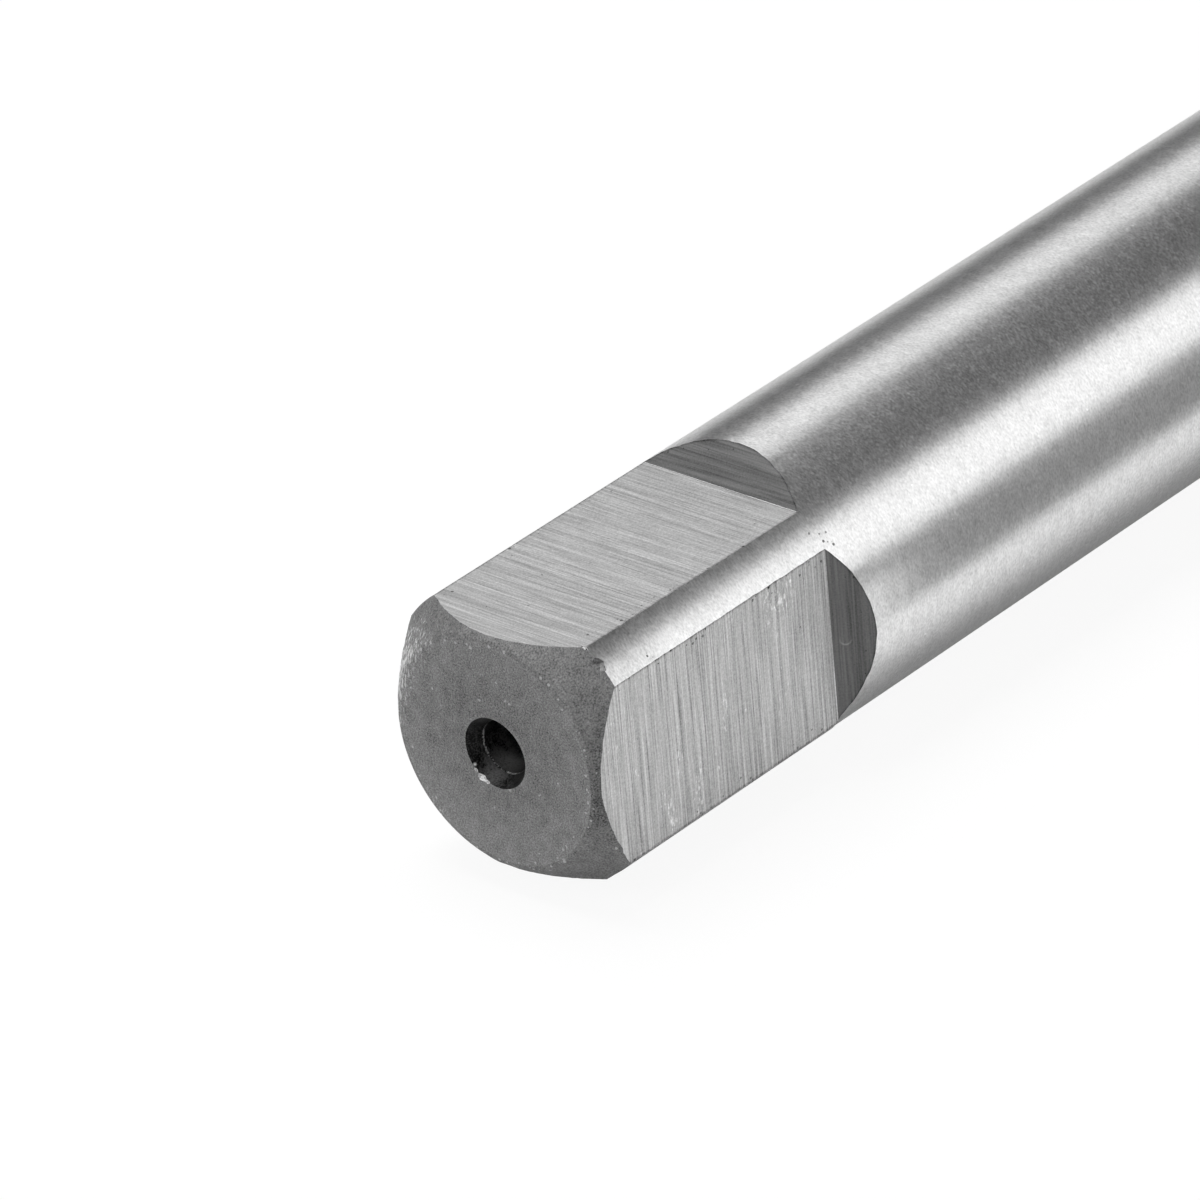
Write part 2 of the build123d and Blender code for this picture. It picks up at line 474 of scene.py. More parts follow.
def flute_section(sizes, steps=16):
    """Corners of a flute that opens upwards, in millimetres across the axis."""
    radius, core, root = sizes.thread / 2 / MM, CORE / MM, FLUTE_ROOT / MM
    lean = FLUTE_HALF_MOUTH - RAKE
    edge = Vector((math.sin(FLUTE_HALF_MOUTH), math.cos(FLUTE_HALF_MOUTH))) * radius
    heel = Vector((-edge.x, edge.y))
    inwards = Vector((-math.sin(lean), -math.cos(lean)))
    sideways = Vector((-math.cos(lean), math.sin(lean)))
    # The root arc touches the rake face and the circle of the core
    offset = edge + sideways * root
    reach = offset.dot(inwards)
    depth = -reach - math.sqrt(reach ** 2 - offset.length_squared + (core + root) ** 2)
    arc_start, centre = edge + inwards * depth, offset + inwards * depth
    # The back of the flute runs from the heel and touches the root arc
    to_centre = centre - heel
    back = to_centre.normalized()
    back.rotate(Matrix.Rotation(-math.asin(root / to_centre.length), 2))
    arc_end = heel + back * math.sqrt(to_centre.length_squared - root ** 2)
    first = math.atan2(*(arc_start - centre).yx)
    last = math.atan2(*(arc_end - centre).yx)
    if last > first:
        last -= TURN
    arc = [
        centre + Vector((math.cos(angle), math.sin(angle))) * root
        for angle in (first + (last - first) * step / steps for step in range(steps + 1))]
    return [edge - inwards] + arc + [heel - back]


def sections_at(bm, x):
    """The flute's sections that lie across the axis at x."""
    return [
        face for face in bm.faces
        if len(face.verts) > 4 and abs(face.calc_center_median().x - x) < TINY]


def grind_flutes(tap, sizes):
    """Cuts the straight flutes, and the run-outs where the grinding wheel lifts off."""
    start, tip = sizes.length - FLUTE_LENGTH, sizes.length + PAST
    bm = bmesh.new()
    corners = [(start, corner.x * MM, corner.y * MM) for corner in flute_section(sizes)]
    section = face_through(bm, corners, FLUTE)
    straight = bmesh.ops.extrude_face_region(bm, geom=[section])
    bmesh.ops.translate(bm, verts=new_verts(straight), vec=(tip - start, 0, 0))
    lift = math.acos(1 - (sizes.thread / 2 - CORE) / WHEEL)
    bmesh.ops.spin(
        bm, geom=sections_at(bm, start), cent=(start, 0, CORE + WHEEL), axis=(0, 1, 0),
        dvec=(0, 0, 0), angle=lift, steps=24)
    # What is left there is inside the cutter
    bmesh.ops.delete(bm, geom=sections_at(bm, start), context="FACES")
    tidy_shell(bm)
    repeat_round(bm, sizes.flutes)
    cut_away(tap, bm, "flutes")


def relieve_lead(tap, sizes):
    """Cuts each land's lead to an off-centre cone, which falls away behind its cutting edge."""
    radius = sizes.thread / 2
    lead = LEAD_THREADS * sizes.pitch
    lead_start = sizes.length - lead
    slope = (radius - TIP_RADIUS) / lead
    middle = TURN / sizes.flutes / 2
    half_land = middle - FLUTE_HALF_MOUTH
    shift = LEAD_RELIEF / (2 * math.sin(half_land))
    centre = Vector((0, -math.sin(middle), math.cos(middle))) * shift
    cone = radius - LEAD_RELIEF / 2
    first, last = lead_start - PAST / slope, sizes.length + PAST
    profile = [
        (first, cone + PAST), (last, cone - (last - lead_start) * slope),
        (last, cone + 2 * PAST), (first, cone + 2 * PAST)]
    # Where the cutter starts beside the land, and how far it goes round it
    margin, sweep = math.radians(5), math.radians(80)
    bm = bmesh.new()
    face = face_through(bm, [(x, r, 0) for x, r in profile], THREAD)
    bmesh.ops.rotate(bm, verts=bm.verts, cent=(0, 0, 0), matrix=Matrix.Rotation(margin, 3, "X"))
    bmesh.ops.translate(bm, verts=bm.verts, vec=centre)
    bmesh.ops.spin(
        bm, geom=[face], cent=centre, axis=(1, 0, 0), dvec=(0, 0, 0), angle=sweep, steps=60)
    tidy_shell(bm)
    repeat_round(bm, sizes.flutes)
    cut_away(tap, bm, "lead")


def grind_thread(tap, sizes):
    """Cuts the groove between the threads, right-handed, land by land."""
    radius, half_slope = sizes.thread / 2, math.tan(THREAD_SLOPE)
    clear = THREAD_CREST / 4
    mouth = (sizes.pitch - THREAD_CREST) / 2
    root, top = mouth - THREAD_DEPTH * half_slope, mouth + clear * half_slope
    profile = [
        (-root, radius - THREAD_DEPTH), (-top, radius + clear),
        (top, radius + clear), (root, radius - THREAD_DEPTH)]
    # Where the cutter starts beside the land, and how far it goes round it
    margin, sweep, steps = math.radians(15), math.radians(60), 40
    bm = bmesh.new()
    face = face_through(bm, [(x, r, 0) for x, r in profile], THREAD)
    bmesh.ops.rotate(bm, verts=bm.verts, cent=(0, 0, 0), matrix=Matrix.Rotation(margin, 3, "X"))
    advance = sizes.pitch * sweep / TURN / steps
    bmesh.ops.spin(
        bm, geom=[face], cent=(0, 0, 0), axis=(1, 0, 0), dvec=(advance, 0, 0),
        angle=sweep, steps=steps)
    tidy_shell(bm)
    first = bm.verts[:] + bm.edges[:] + bm.faces[:]
    pattern = bm.verts[:]
    thread_start = sizes.length - sizes.thread_length
    phase = thread_start - sizes.pitch / 2 + sizes.pitch * (margin - TURN / 4) / TURN
    laps = round(sizes.thread_length / sizes.pitch) + 2
    for land in range(sizes.flutes):
        turn = Matrix.Rotation(land * TURN / sizes.flutes, 3, "X")
        for lap in range(laps):
            copy = bmesh.ops.duplicate(bm, geom=first)
            place = phase + sizes.pitch * (lap + land / sizes.flutes)
            bmesh.ops.rotate(bm, verts=new_verts(copy), cent=(0, 0, 0), matrix=turn)
            bmesh.ops.translate(bm, verts=new_verts(copy), vec=(place, 0, 0))
    bmesh.ops.delete(bm, geom=pattern, context="VERTS")
    cut_away(tap, bm, "thread")


# Materials

def socket_group(name, inputs, output):
    """An empty node group: a vector and named numbers go in, and one value comes out."""
    group = bpy.data.node_groups.new(name, "ShaderNodeTree")
    group.interface.new_socket("Vector", in_out="INPUT", socket_type="NodeSocketVector")
    for label, default in inputs.items():
        socket = group.interface.new_socket(label, in_out="INPUT", socket_type="NodeSocketFloat")
        socket.default_value = default
    group.interface.new_socket(output, in_out="OUTPUT", socket_type="NodeSocketFloat")
    return group, group.nodes.new("NodeGroupInput"), group.nodes.new("NodeGroupOutput")


def put(tree, socket, value):
    """Links another node's output to the socket, or sets the socket's own value."""
    if isinstance(value, bpy.types.NodeSocket):
        tree.links.new(value, socket)
    else:
        socket.default_value = value


def maths(tree, operation, *values, clamp=False):
    """One Math node's result."""
    node = tree.nodes.new("ShaderNodeMath")
    node.operation = operation
    node.use_clamp = clamp
    for socket, value in zip(node.inputs, values):
        put(tree, socket, value)
    return node.outputs[0]


def fade(tree, value, low, high):
    """From 0 at low to 1 at high, softly."""
    node = tree.nodes.new("ShaderNodeMapRange")
    node.interpolation_type = "SMOOTHSTEP"
    put(tree, node.inputs["Value"], value)
    put(tree, node.inputs["From Min"], low)
    put(tree, node.inputs["From Max"], high)
    return node.outputs["Result"]


def stretched(tree, vector, scale):
    """The vector, scaled along each axis."""
    node = tree.nodes.new("ShaderNodeMapping")
    node.inputs["Scale"].default_value = scale
    tree.links.new(vector, node.inputs["Vector"])
    return node.outputs["Vector"]


def distance(tree, vector, other):
    """How far apart two vectors are."""
    node = tree.nodes.new("ShaderNodeVectorMath")
    node.operation = "DISTANCE"
    tree.links.new(vector, node.inputs[0])
    tree.links.new(other, node.inputs[1])
    return node.outputs["Value"]


def noise(tree, vector, scale, detail, roughness=0.5):
    """Noise round nought, with its scale in features a metre along each axis."""
    node = tree.nodes.new("ShaderNodeTexNoise")
    node.inputs["Scale"].default_value = 1.0
    node.inputs["Detail"].default_value = detail
    node.inputs["Roughness"].default_value = roughness
    tree.links.new(stretched(tree, vector, scale), node.inputs["Vector"])
    return maths(tree, "SUBTRACT", node.outputs["Fac"], 0.5)


def sum_of(tree, *parts):
    """Adds up values, each given with its weight."""
    total = None
    for value, weight in parts:
        weighed = maths(tree, "MULTIPLY", value, weight)
        total = weighed if total is None else maths(tree, "ADD", total, weighed)
    return total


def cutter_mark_group():
    """Parallel marks across the tap, from a milling cutter or a lathe tool."""
    group, given, out = socket_group(
        "cutter_marks", {"Lines": 1.0, "Fine lines": 1.0, "Bands": 1.0, "Scores": 0.0}, "Marks")
    place = given.outputs["Vector"]
    scores = fade(group, noise(group, place, (12000, 160, 160), 1.0), 0.13, 0.26)
    marks = sum_of(
        group,
        (maths(group, "MULTIPLY", scores, given.outputs["Scores"]), -1.0),
        (noise(group, place, (13000, 110, 110), 1.0, 0.6), given.outputs["Lines"]),
        (noise(group, place, (18000, 330, 330), 1.0, 0.5), given.outputs["Fine lines"]),
        (noise(group, place, (1100, 60, 60), 2.0), given.outputs["Bands"]))
    group.links.new(marks, out.inputs["Marks"])
    return group


def patchy_group(name, marks, output, fine, broad):
    """Fine marks over soft patches, each with a share of its own and a scale along each axis."""
    group, given, out = socket_group(name, {marks: 1.0, "Patches": 1.0}, output)
    place = given.outputs["Vector"]
    both = sum_of(
        group,
        (noise(group, place, fine, 1.0, 0.6), given.outputs[marks]),
        (noise(group, place, broad, 2.0, 0.6), given.outputs["Patches"]))
    group.links.new(both, out.inputs[output])
    return group


def grain_group():
    """Fine speckle over soft patches."""
    return patchy_group("grain", "Speckle", "Grain", (16000, 16300, 16300), (2400, 1900, 1900))


def brushing_group():
    """Short fine strokes round the tap, from the grinding wheel, in soft patches."""
    return patchy_group("brushing", "Strokes", "Brushing", (13000, 8000, 8000), (2600, 1300, 1300))


def scuff_group():
    """Short bright scuffs along the cutter's way, gathered in clusters."""
    group, given, out = socket_group("scuffs", {"Least": 0.2}, "Scuffs")
    place = given.outputs["Vector"]
    marks = sum_of(
        group,
        (noise(group, place, (11000, 3500, 3500), 2.0, 0.6), 1.0),
        (noise(group, place, (1300, 260, 260), 1.0), 0.8))
    most = maths(group, "ADD", given.outputs["Least"], 0.2)
    group.links.new(fade(group, marks, given.outputs["Least"], most), out.inputs["Scuffs"])
    return group


def rim_group():
    """1 at a given distance from a line that runs below the tap's axis, falling to 0 over the width."""
    group, given, out = socket_group(
        "rim", {"Radius": 5.6 * MM, "Width": 0.4 * MM, "Below": 0.0}, "Rim")
    line = group.nodes.new("ShaderNodeCombineXYZ")
    group.links.new(maths(group, "MULTIPLY", given.outputs["Below"], -1.0), line.inputs["Z"])
    across = stretched(group, given.outputs["Vector"], (0, 1, 1))
    off_line = distance(group, across, line.outputs["Vector"])
    away = maths(group, "ABSOLUTE", maths(group, "SUBTRACT", off_line, given.outputs["Radius"]))
    group.links.new(fade(group, away, given.outputs["Width"], 0.0), out.inputs["Rim"])
    return group


def spot_group(cells_a_metre=6000):
    """Small round spots, scattered over the share of cells that is asked for."""
    group, given, out = socket_group("spots", {"Share": 0.1, "Size": 0.2}, "Spots")
    cells = group.nodes.new("ShaderNodeTexVoronoi")
    cells.inputs["Scale"].default_value = cells_a_metre
    group.links.new(given.outputs["Vector"], cells.inputs["Vector"])
    parts = group.nodes.new("ShaderNodeSeparateColor")
    group.links.new(cells.outputs["Color"], parts.inputs["Color"])
    chosen = maths(group, "LESS_THAN", parts.outputs["Red"], given.outputs["Share"])
    size = maths(group, "MULTIPLY", parts.outputs["Green"], given.outputs["Size"])
    spot = maths(group, "LESS_THAN", cells.outputs["Distance"], size)
    group.links.new(maths(group, "MULTIPLY", chosen, spot), out.inputs["Spots"])
    return group


def near_group():
    """1 at a given place, falling to 0 at the reach."""
    group, given, out = socket_group("near", {"X": 0.0, "Y": 0.0, "Z": 0.0, "Reach": 1.0 * MM}, "Near")
    place = group.nodes.new("ShaderNodeCombineXYZ")
    for axis in "XYZ":
        group.links.new(given.outputs[axis], place.inputs[axis])
    away = distance(group, given.outputs["Vector"], place.outputs["Vector"])
    group.links.new(fade(group, away, given.outputs["Reach"], 0.0), out.inputs["Near"])
    return group


def scrape_group():
    """Fine upright scratches over the share of the end that is asked for."""
    group, given, out = socket_group("scrapes", {"Share": 0.5}, "Scrapes")
    lines = noise(group, given.outputs["Vector"], (9000, 15000, 2500), 2.0, 0.6)
    least = maths(group, "SUBTRACT", 0.14, maths(group, "MULTIPLY", given.outputs["Share"], 0.2))
    most = maths(group, "ADD", least, 0.1)
    scrapes = maths(group, "MULTIPLY", fade(group, lines, least, most), given.outputs["Share"])
    group.links.new(scrapes, out.inputs["Scrapes"])
    return group


class Finish:
    """One material of the tap while its nodes are laid."""

    def __init__(self, name, colour, roughness, metallic=1.0):
        self.made = bpy.data.materials.new(name)
        self.made.use_nodes = True
        self.tree = self.made.node_tree
        self.shader = self.tree.nodes["Principled BSDF"]
        self.shader.inputs["Metallic"].default_value = metallic
        self.colour, self.roughness = colour, roughness
        self.place = self.tree.nodes.new("ShaderNodeTexCoord").outputs["Object"]

    def effect(self, group, **values):
        """Places a shared effect, with its own values for the group's inputs."""
        node = self.tree.nodes.new("ShaderNodeGroup")
        node.node_tree = group
        self.tree.links.new(self.place, node.inputs["Vector"])
        for label, value in values.items():
            put(self.tree, node.inputs[label.replace("_", " ")], value)
        return node.outputs[0]

    def mix(self, *parts):
        """Adds up masks, each given with its weight."""
        return sum_of(self.tree, *parts)

    def near(self, groups, x, y, z, reach):
        """1 at a place given in millimetres, falling to 0 at the reach."""
        return self.effect(groups["near"], X=x * MM, Y=y * MM, Z=z * MM, Reach=reach * MM)

    def lay(self, tone, gloss, height, depth, metal=None):
        """Tone changes the colour by a share, gloss the roughness, and height and depth the relief."""
        tint = self.tree.nodes.new("ShaderNodeHueSaturation")
        tint.inputs["Color"].default_value = (*self.colour, 1)
        self.tree.links.new(maths(self.tree, "ADD", tone, 1.0), tint.inputs["Value"])
        self.tree.links.new(tint.outputs["Color"], self.shader.inputs["Base Color"])
        rough = maths(self.tree, "ADD", gloss, self.roughness, clamp=True)
        self.tree.links.new(rough, self.shader.inputs["Roughness"])
        bump = self.tree.nodes.new("ShaderNodeBump")
        bump.inputs["Strength"].default_value = 1.0
        bump.inputs["Distance"].default_value = depth
        self.tree.links.new(height, bump.inputs["Height"])
        self.tree.links.new(bump.outputs["Normal"], self.shader.inputs["Normal"])
        if metal is not None:
            level = self.shader.inputs["Metallic"].default_value
            even = maths(self.tree, "ADD", metal, level, clamp=True)
            self.tree.links.new(even, self.shader.inputs["Metallic"])
        return self.made


def ground_steel(colours, groups):
    """Ground round, with a few bright specks, and painted shade on the ridge near the drive end."""
    made = Finish("ground_shank", colours.shank_colour, colours.shank_roughness, metallic=0.99)
    made.shader.inputs["Specular Tint"].default_value = (0.7, 0.7, 0.7, 1)
    strokes = made.effect(groups["brushing"], Strokes=1.0, Patches=0.4)
    waves = made.effect(groups["brushing"], Strokes=0.03, Patches=1.0)
    specks = made.effect(groups["spots"], Share=0.004, Size=0.4)
    square_corner = made.near(groups, 12.5, -4.4, 3.5, 0.9)
    front_corner = made.near(groups, 3.3, -4.35, 3.5, 0.6)
    knocked = made.mix((square_corner, 0.6), (front_corner, 0.6))
    pits = made.effect(groups["spots"], Share=knocked, Size=0.35)
    # Painted shade: the ridge near the drive end is made darker
    front = made.near(groups, 2.2, -4.0, 3.95, 2.6)
    tone = made.mix((strokes, 0.75), (specks, 0.5), (pits, -0.7), (front, -0.2))
    height = made.mix((waves, 1.0), (pits, -0.5))
    return made.lay(tone, made.mix((strokes, 0.04)), height, 0.005 * MM, made.mix((strokes, -0.18)))


def dull_face(name, colour, groups, speckle, lines, shade, paler):
    """The scaled, dull end: speckled, paler towards its rim, with bright flecks where it was knocked, a
    painted highlight along the rim's rounding, painted light towards the bottom and painted shade towards
    -Y.
    """
    made = Finish(name, colour, 0.6, metallic=0.3)
    speck = made.effect(groups["grain"], Speckle=1.0, Patches=0.4)
    marks = made.effect(groups["marks"], Lines=lines, Fine_lines=lines, Bands=0)
    rim = made.effect(groups["rim"], Radius=4.2 * MM, Width=0.4 * MM)
    # A painted highlight: a lighter ring where the face's rim is rounded
    line = made.effect(groups["rim"], Radius=4.15 * MM, Width=0.1 * MM)
    bowl = made.effect(groups["rim"], Radius=3.95 * MM, Width=2.4 * MM)
    mouth = made.effect(groups["rim"], Radius=1.36 * MM, Width=0.12 * MM)
    clumps = made.effect(groups["grain"], Speckle=0, Patches=1.0)
    left = made.near(groups, 0.3, 4.3, 1.6, 4.4)
    lower = made.near(groups, 0.2, 2.9, -2.9, 2.6)
    outer = made.effect(groups["rim"], Radius=4.7 * MM, Width=1.5 * MM)
    # Painted light: the lower part is made paler, as much as paler asks
    painted_light_below = made.near(groups, 0.0, 0.5, -5.5, 9.0)
    worn = made.mix((left, 1.0), (lower, 0.6))
    scrapes = made.effect(groups["scrapes"], Share=maths(made.tree, "MULTIPLY", worn, outer))
    share = made.mix((rim, 0.35), (mouth, 0.3), (clumps, 0.3), (scrapes, 0.4))
    flecks = made.effect(groups["spots"], Share=share, Size=0.4)
    # Painted shade: darker on the -Y side, as much as shade asks
    side = made.near(groups, 0.2, -4.4, -0.6, 2.9)
    tone = made.mix(
        (speck, speckle), (marks, 1.0), (flecks, 1.1), (line, 0.12), (mouth, 0.12), (scrapes, 3.0),
        (side, shade), (bowl, paler), (painted_light_below, paler))
    return made.lay(tone, made.mix((speck, 0.3), (flecks, -0.2)), speck, 0.0008 * MM)


def drilled_centre(colours, groups):
    """Dark inside, darkened partly as painted shade of the hole, with painted shade on the cone's left,
    painted light low in the pilot, and one bright chip.
    """
    made = Finish("drilled_centre", colours.centre_colour, 0.5, metallic=0.5)
    made.shader.inputs["Specular IOR Level"].default_value = 0.25
    speck = made.effect(groups["grain"], Speckle=3.0, Patches=2.0)
    # Painted shade on the cone's left, and painted light on the pilot's lower wall
    painted_shade_left = made.near(groups, 0.3, 1.2, 0.1, 1.6)
    painted_light_low = made.near(groups, 0.9, 0.4, -0.9, 1.0)
    chip = made.near(groups, 0.06, 1.04, -0.77, 0.09)
    tone = made.mix((speck, 2.0), (painted_shade_left, -0.7), (painted_light_low, 4.5), (chip, 30.0))
    return made.lay(tone, made.mix((speck, 0.3)), speck, 0.004 * MM)


def milled_marks(made, groups, lines, bands, scores, radius=5.6, below=0.0):
    """The cutter's marks, darker rims at the radius in millimetres, and small pits that gather there."""
    marks = made.effect(groups["marks"], Lines=0.4, Fine_lines=1.5, Bands=bands, Scores=scores)
    speck = made.effect(groups["grain"], Speckle=1.0, Patches=0.2)
    rim = made.effect(groups["rim"], Radius=radius * MM, Width=0.4 * MM, Below=below * MM)
    edge = made.effect(groups["rim"], Radius=radius * MM, Width=0.07 * MM, Below=below * MM)
    pits = made.effect(groups["spots"], Share=made.mix((rim, 0.3), (speck, 0.08)), Size=0.35)
    tone = made.mix((marks, lines), (speck, 0.75), (pits, -0.6), (edge, -0.5))
    return tone, made.mix((marks, 0.2)), made.mix((marks, 1.0), (pits, -2.0))


def milled_flat(colours, groups):
    """Even, with fine parallel marks."""
    made = Finish("milled_flat", colours.flat_colour, colours.flat_roughness)
    tone, gloss, height = milled_marks(made, groups, lines=0.62, bands=0.05, scores=0.1)
    return made.lay(tone, gloss, height, MILLED_DEPTH)


def milled_side_flat(colours, groups):
    """As the flat, and scuffed, most of all beside the shoulder."""
    made = Finish("milled_side_flat", colours.side_colour, colours.flat_roughness)
    tone, gloss, height = milled_marks(
        made, groups, lines=1.05, bands=0.05, scores=0.25, radius=5.65, below=0.083)
    knocked = made.mix((made.near(groups, 9.8, -4.5, 2.4, 2.2), -0.2))
    scuffs = made.effect(groups["scuffs"], Least=maths(made.tree, "ADD", knocked, 0.21))
    return made.lay(made.mix((tone, 1.0), (scuffs, 0.7)), gloss, height, MILLED_DEPTH)


def milled_shoulder(colours, groups):
    """Darker, with the small curved scratch of one knock, and painted shade on the shoulder towards -Y.
    """
    made = Finish("milled_shoulder", colours.shoulder_colour, 0.4, metallic=0.2)
    tone, gloss, height = milled_marks(made, groups, lines=1.1, bands=0.6, scores=0.12)
    halfway = maths(made.tree, "SUBTRACT", made.near(groups, 12.74, -4.84, -0.26, 0.4), 0.5)
    ring = fade(made.tree, maths(made.tree, "ABSOLUTE", halfway), 0.2, 0.0)
    lower = made.near(groups, 12.72, -4.82, -0.46, 0.42)
    scratch = maths(made.tree, "MULTIPLY", ring, lower)
    # Painted shade: the shoulder towards -Y is made darker
    side = made.near(groups, 13.0, -5.0, 0.0, 6.0)
    tone = made.mix((tone, 1.0), (scratch, 1.2), (side, -0.1))
    return made.lay(tone, gloss, height, MILLED_DEPTH)


def ground_cut(name, colours, groups, lines):
    """The cutting end, ground finer than the shank."""
    made = Finish(name, colours.cut_colour, 0.28)
    speck = made.effect(groups["grain"], Speckle=1.0, Patches=0.5)
    marks = made.effect(groups["marks"], Lines=lines, Fine_lines=lines, Bands=0)
    tone = made.mix((speck, 0.3), (marks, 0.3))
    return made.lay(tone, made.mix((speck, 0.1)), made.mix((speck, 1.0), (marks, 1.0)), 0.001 * MM)


def worn_edge(colours, groups):
    """The bare metal of the chips and of the worn ring inside the centre hole."""
    made = Finish("worn_edge", colours.edge_colour, 0.4, metallic=0.6)
    speck = made.effect(groups["grain"], Speckle=2.0, Patches=2.0)
    ring = made.effect(groups["rim"], Radius=1.0 * MM, Width=0.15 * MM)
    dull = made.near(groups, 0.6, -0.6, -0.8, 0.8)
    tone = made.mix((speck, 2.5), (ring, -0.4), (dull, -0.4))
    return made.lay(tone, made.mix((speck, 0.3)), speck, 0.005 * MM)


def tap_materials(colours):
    """The tap's materials, in the order of their slots."""
    groups = {
        "marks": cutter_mark_group(), "grain": grain_group(), "brushing": brushing_group(),
        "scuffs": scuff_group(), "rim": rim_group(), "spots": spot_group(), "near": near_group(),
        "scrapes": scrape_group()}
    return [
        ground_steel(colours, groups),
        dull_face(
            "dull_end_face", colours.face_colour, groups, speckle=3.4, lines=0.0, shade=0.0, paler=0.3),
        dull_face(
            "turned_chamfer", colours.chamfer_colour, groups, speckle=2.4, lines=0.1, shade=-0.42,
            paler=0.0),
        drilled_centre(colours, groups),
        milled_flat(colours, groups),
        milled_side_flat(colours, groups),
        milled_shoulder(colours, groups),
        ground_cut("ground_flute", colours, groups, lines=0.0),
        ground_cut("ground_thread", colours, groups, lines=0.6),
        worn_edge(colours, groups),
    ]


# Operators

class TAP_OT_model(bpy.types.Operator):
    """Model the tap from its turned blank to its ground thread"""

    bl_idname = "tap.model"
    bl_label = "Model the tap"

    def execute(self, context):
        sizes = context.scene.tap_sizes
        bm = bmesh.new()
        turn_blank(bm, sizes)
        mesh = mesh_from(bm, "tap")
        tap = object_from(mesh, "tap")
        for material in tap_materials(context.scene.tap_finish):
            mesh.materials.append(material)
        mill_square(tap, sizes)
        wear_rims(tap, sizes)
        chip_corners(tap)
        grind_flutes(tap, sizes)
        relieve_lead(tap, sizes)
        grind_thread(tap, sizes)
        tap.data.shade_smooth()
        tap.data.set_sharp_from_angle(angle=CREASE)
        even = tap.modifiers.new("even_shading", "WEIGHTED_NORMAL")
        even.keep_sharp = True
        even.weight = 80
        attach(tap, "root")
        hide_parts(TAP_NODE)
        return {"FINISHED"}


def strip_lamp(name, level, centre, width, length, target):
    """A soft lamp of an even brightness. Its power follows from its size."""
    lamp = bpy.data.lights.new(name, "AREA")
    lamp.shape = "RECTANGLE"
    lamp.size, lamp.size_y = width, length
    lamp.energy = level * math.pi * width * length
    holder = bpy.data.objects.new(name, lamp)
    holder.location = centre
    aim = (Vector(target) - Vector(centre)).normalized()
    across = Vector((1, 0, 0)) if abs(aim.x) < 0.9 else Vector((0, 1, 0))
    along = (across - aim * across.dot(aim)).normalized()
    side = aim.cross(along).normalized()
    holder.rotation_euler = Matrix((side, along, -aim)).transposed().to_euler()
    holder.visible_camera = False
    bpy.context.scene.collection.objects.link(holder)


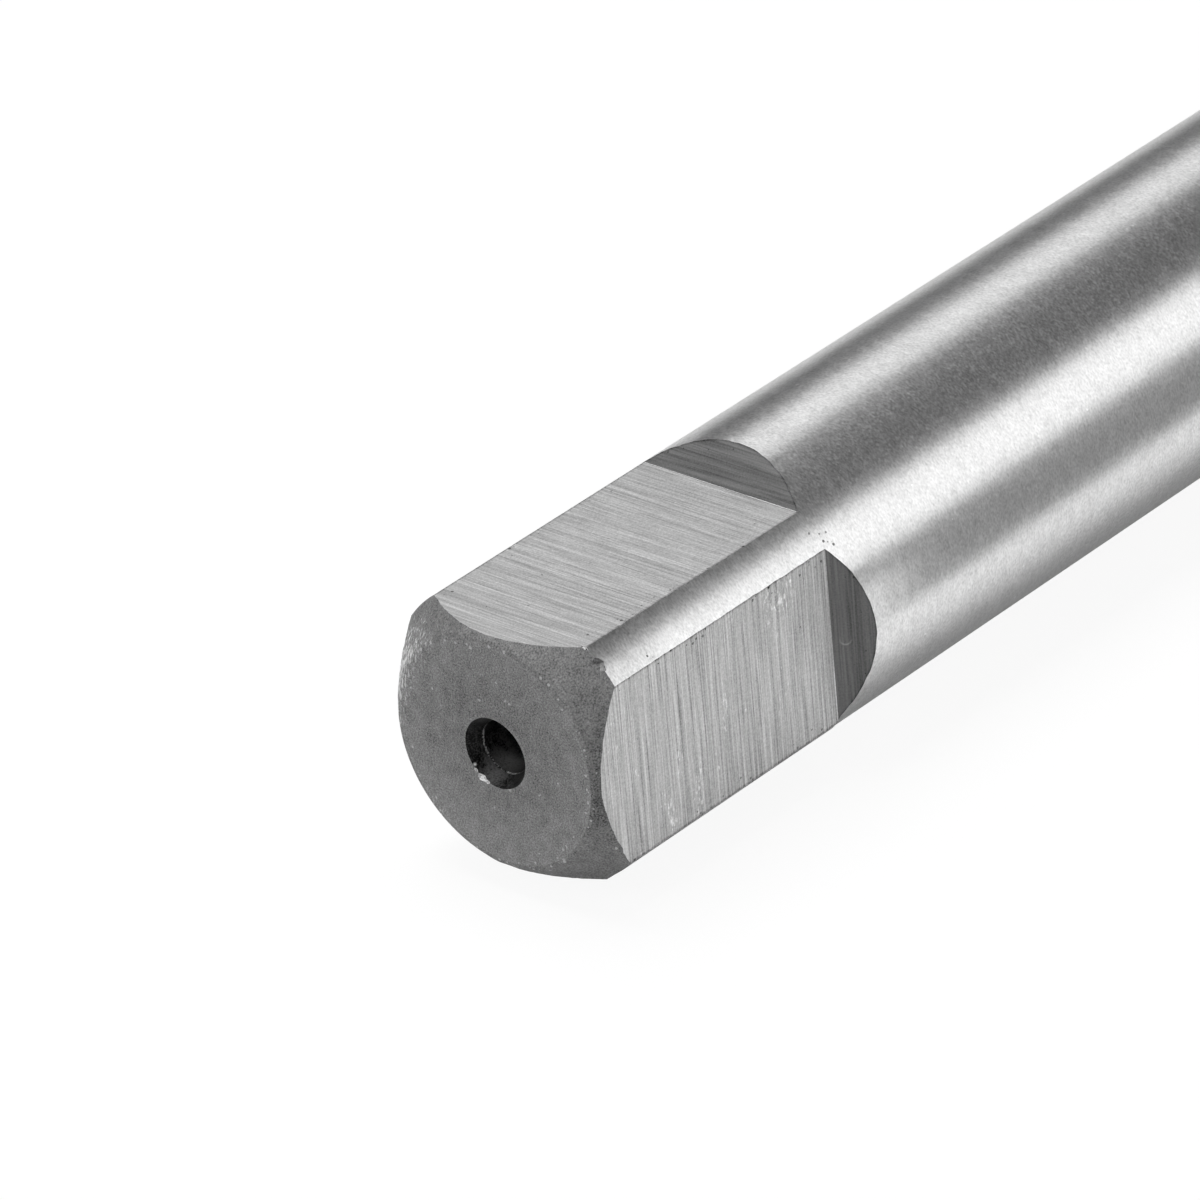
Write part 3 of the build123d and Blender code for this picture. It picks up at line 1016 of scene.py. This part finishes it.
class TAP_OT_stage(bpy.types.Operator):
    """Set up the floor, the lamps, the room and the camera"""

    bl_idname = "tap.stage"
    bl_label = "Set the stage"

    def execute(self, context):
        scene, stage = context.scene, context.scene.tap_stage
        self.floor(stage)
        self.lamps(stage)
        self.room(scene, stage)
        self.camera(scene, stage)
        scene.view_settings.view_transform = "Standard"
        return {"FINISHED"}

    def floor(self, stage):
        """A pale floor that touches the shank and the thread, where the tap rests."""
        shank_foot = Vector((13.5 * MM, 0, -5.6 * MM))
        thread_foot = Vector((66.4 * MM, 0, TAP_START.z))
        slope = math.atan2(shank_foot.z - thread_foot.z, thread_foot.x - shank_foot.x)
        gap = Vector((0, 0, 0.01 * MM))
        bm = bmesh.new()
        bmesh.ops.create_grid(bm, x_segments=8, y_segments=8, size=4)
        bmesh.ops.rotate(bm, verts=bm.verts, cent=(0, 0, 0), matrix=Matrix.Rotation(slope, 3, "Y"))
        bmesh.ops.translate(bm, verts=bm.verts, vec=shank_foot - gap)
        floor = object_from(mesh_from(bm, "floor"), "floor")
        made = bpy.data.materials.new("floor")
        made.use_nodes = True
        tree = made.node_tree
        shader = tree.nodes["Principled BSDF"]
        shader.inputs["Base Color"].default_value = (*stage.floor_colour, 1)
        shader.inputs["Roughness"].default_value = 1.0
        shader.inputs["Specular IOR Level"].default_value = 0.0
        white = tree.nodes.new("ShaderNodeEmission")
        path = tree.nodes.new("ShaderNodeLightPath")
        seen = maths(tree, "MULTIPLY", path.outputs["Is Camera Ray"], stage.floor_glow)
        mirrored = maths(tree, "ADD", path.outputs["Is Glossy Ray"], path.outputs["Is Transmission Ray"])
        mirrored = maths(tree, "MULTIPLY", mirrored, stage.mirrored_glow)
        mix = tree.nodes.new("ShaderNodeMixShader")
        tree.links.new(maths(tree, "ADD", seen, mirrored, clamp=True), mix.inputs["Fac"])
        tree.links.new(shader.outputs[0], mix.inputs[1])
        tree.links.new(white.outputs[0], mix.inputs[2])
        tree.links.new(mix.outputs[0], tree.nodes["Material Output"].inputs["Surface"])
        floor.data.materials.append(made)

    def lamps(self, stage):
        """Each lamp's name, level, centre, width, length and target, in metres."""
        strip_lamp("top_lamp", stage.top_level, (0.02, 0.08, 0.4), 0.24, 0.24, (0.02, 0, 0))
        strip_lamp("back_strip", stage.back_level, (0.2, 0.1225, 0.145), 0.103, 0.3, (0.2, 0, 0))
        strip_lamp("side_strip", stage.side_level, (0.2, -0.165, 0.094), 0.14, 0.3, (0.2, 0, 0))
        strip_lamp("front_lamp", stage.front_level, (-0.25, 0.045, 0.235), 0.45, 0.22, (0.005, 0, 0))
        self.card(stage)

    def card(self, stage):
        """A low grey card beside the shank, seen only as the shank mirrors it."""
        start, end, side, low, height = 22 * MM, 200 * MM, -13.2 * MM, -5.7 * MM, 8.0 * MM
        bm = bmesh.new()
        foot = bm.edges.new([bm.verts.new((x, side, low)) for x in (start, end)])
        raised = bmesh.ops.extrude_edge_only(bm, edges=[foot])
        bmesh.ops.translate(bm, verts=new_verts(raised), vec=(0, 0, height))
        card = object_from(mesh_from(bm, "card"), "card")
        made = bpy.data.materials.new("card")
        made.use_nodes = True
        shader = made.node_tree.nodes["Principled BSDF"]
        shader.inputs["Base Color"].default_value = (0, 0, 0, 1)
        shader.inputs["Specular IOR Level"].default_value = 0.0
        shader.inputs["Emission Color"].default_value = (1, 1, 1, 1)
        shader.inputs["Emission Strength"].default_value = stage.card_level
        card.data.materials.append(made)
        card.visible_camera = False
        card.visible_diffuse = False
        card.visible_shadow = False

    def room(self, scene, stage):
        """An even white room."""
        world = bpy.data.worlds.new("room")
        world.use_nodes = True
        back = world.node_tree.nodes["Background"]
        back.inputs["Color"].default_value = (1, 1, 1, 1)
        back.inputs["Strength"].default_value = stage.room_level
        scene.world = world

    def camera(self, scene, stage):
        """The camera stands where the picture was taken from, in front of the drive end."""
        lens = bpy.data.cameras.new("camera")
        lens.lens = stage.lens
        lens.sensor_width = 36
        holder = bpy.data.objects.new("camera", lens)
        holder.location = (-188.351 * MM, -178.847 * MM, 148.470 * MM)
        holder.rotation_euler = [math.radians(a) for a in (61.0652, 4.5455, -49.8652)]
        scene.collection.objects.link(holder)
        scene.camera = holder


class TAP_PT_panel(bpy.types.Panel):
    """Sizes, finishes and stage of the tap"""

    bl_label = "Machine tap"
    bl_idname = "TAP_PT_panel"
    bl_space_type = "VIEW_3D"
    bl_region_type = "UI"
    bl_category = "Tap"

    def draw(self, context):
        scene = context.scene
        for group in (scene.tap_sizes, scene.tap_finish, scene.tap_stage):
            box = self.layout.box()
            for name in group.__annotations__:
                box.prop(group, name)
        self.layout.operator(TAP_OT_model.bl_idname)
        self.layout.operator(TAP_OT_stage.bl_idname)


CLASSES = (TapSizes, TapFinish, StageSettings, TAP_OT_model, TAP_OT_stage, TAP_PT_panel)


def register():
    for item in CLASSES:
        bpy.utils.register_class(item)
    bpy.types.Scene.tap_sizes = bpy.props.PointerProperty(type=TapSizes)
    bpy.types.Scene.tap_finish = bpy.props.PointerProperty(type=TapFinish)
    bpy.types.Scene.tap_stage = bpy.props.PointerProperty(type=StageSettings)


def unregister():
    del bpy.types.Scene.tap_sizes
    del bpy.types.Scene.tap_finish
    del bpy.types.Scene.tap_stage
    for item in reversed(CLASSES):
        bpy.utils.unregister_class(item)


def main():
    register()
    bpy.ops.tap.model()
    bpy.ops.tap.stage()


if __name__ == "__main__":
    main()
